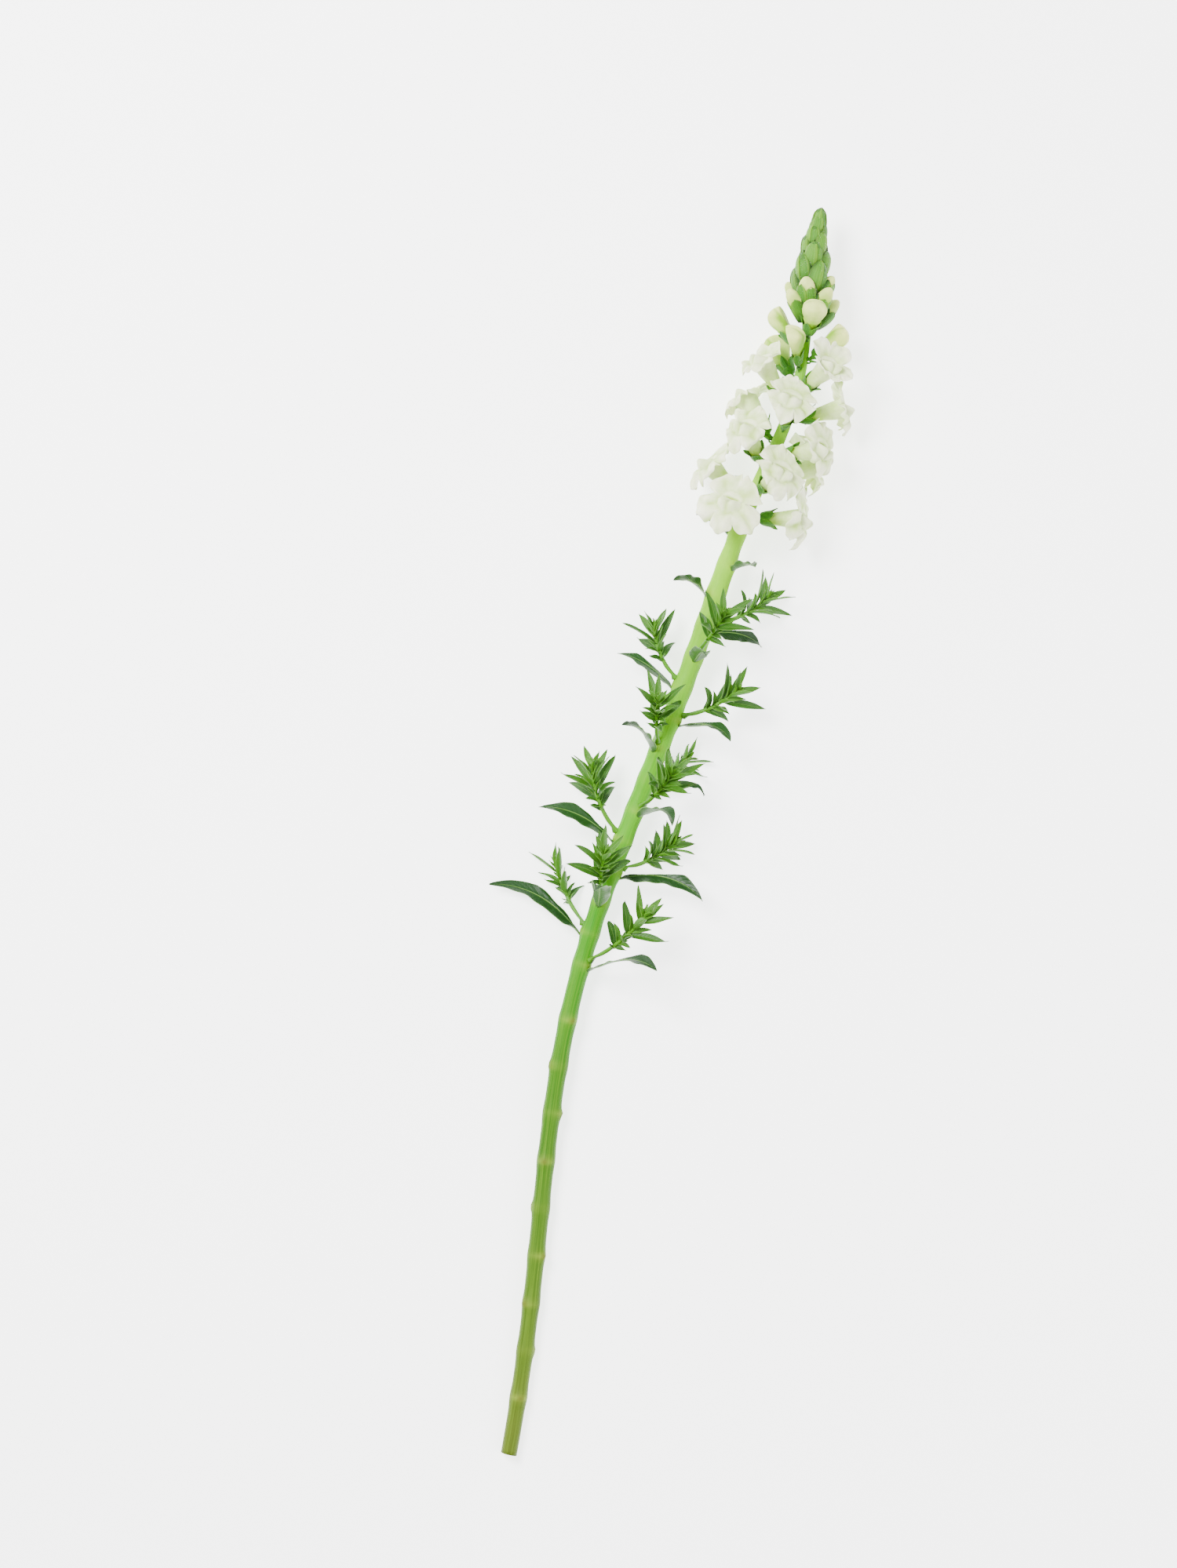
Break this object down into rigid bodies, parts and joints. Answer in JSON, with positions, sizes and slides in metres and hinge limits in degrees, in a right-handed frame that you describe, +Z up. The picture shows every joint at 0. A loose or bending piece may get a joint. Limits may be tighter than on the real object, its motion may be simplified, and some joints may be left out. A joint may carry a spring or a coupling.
{
  "type": "snapdragon stem",
  "caption": "Cut snapdragon stem lying down: long bowed stalk, dark leaves, leafy side shoots in their axils, and a spike of white two-lipped flowers, pale buds and a green bud cone.",
  "frame": {"origin": "on the surface that the stem lies on, under the middle of its box", "axes": "+Y along the stalk from the cut end to the tip of the spike, +Z up, +X to the right seen from above with the tip ahead"},
  "size_m": [0.1432, 0.7582, 0.0747],
  "materials": {
    "stem_green": "waxy green stalk and calyces, olive at the cut end",
    "bud_green": "downy mid-green buds",
    "petal_white": "soft white petals, pale yellow-green at the mouth",
    "pale_bud": "cream buds with a green tint",
    "leaf_green": "dark green, slightly waxy",
    "shoot_green": "fresh mid-green, slightly waxy"
  },
  "bodies": {
    "root": {"stem": "stem_green", "bud_head": "bud_green", "flower_01": "petal_white", "flower_02": "petal_white", "flower_03": "petal_white", "flower_04": "petal_white", "flower_05": "petal_white", "flower_06": "petal_white", "flower_07": "petal_white", "flower_08": "petal_white", "flower_09": "petal_white", "flower_10": "petal_white", "flower_11": "petal_white", "flower_12": "petal_white", "pale_bud_01": "pale_bud", "pale_bud_02": "pale_bud", "pale_bud_03": "pale_bud", "pale_bud_04": "pale_bud", "pale_bud_05": "pale_bud", "leaf_01": "leaf_green", "leaf_02": "leaf_green", "leaf_03": "leaf_green", "leaf_04": "leaf_green", "leaf_05": "leaf_green", "leaf_06": "leaf_green", "leaf_07": "leaf_green", "leaf_08": "leaf_green", "leaf_09": "leaf_green", "leaf_10": "leaf_green", "leaf_11": "leaf_green", "leaf_12": "leaf_green", "leaf_13": "leaf_green", "leaf_14": "leaf_green", "leaf_15": "leaf_green", "side_shoot_01": "shoot_green", "side_shoot_02": "shoot_green", "side_shoot_03": "shoot_green", "side_shoot_04": "shoot_green", "side_shoot_05": "shoot_green", "side_shoot_06": "shoot_green", "side_shoot_07": "shoot_green", "side_shoot_08": "shoot_green", "side_shoot_09": "shoot_green", "side_shoot_10": "shoot_green", "side_shoot_11": "shoot_green", "side_shoot_12": "shoot_green"}
  },
  "joints": []
}
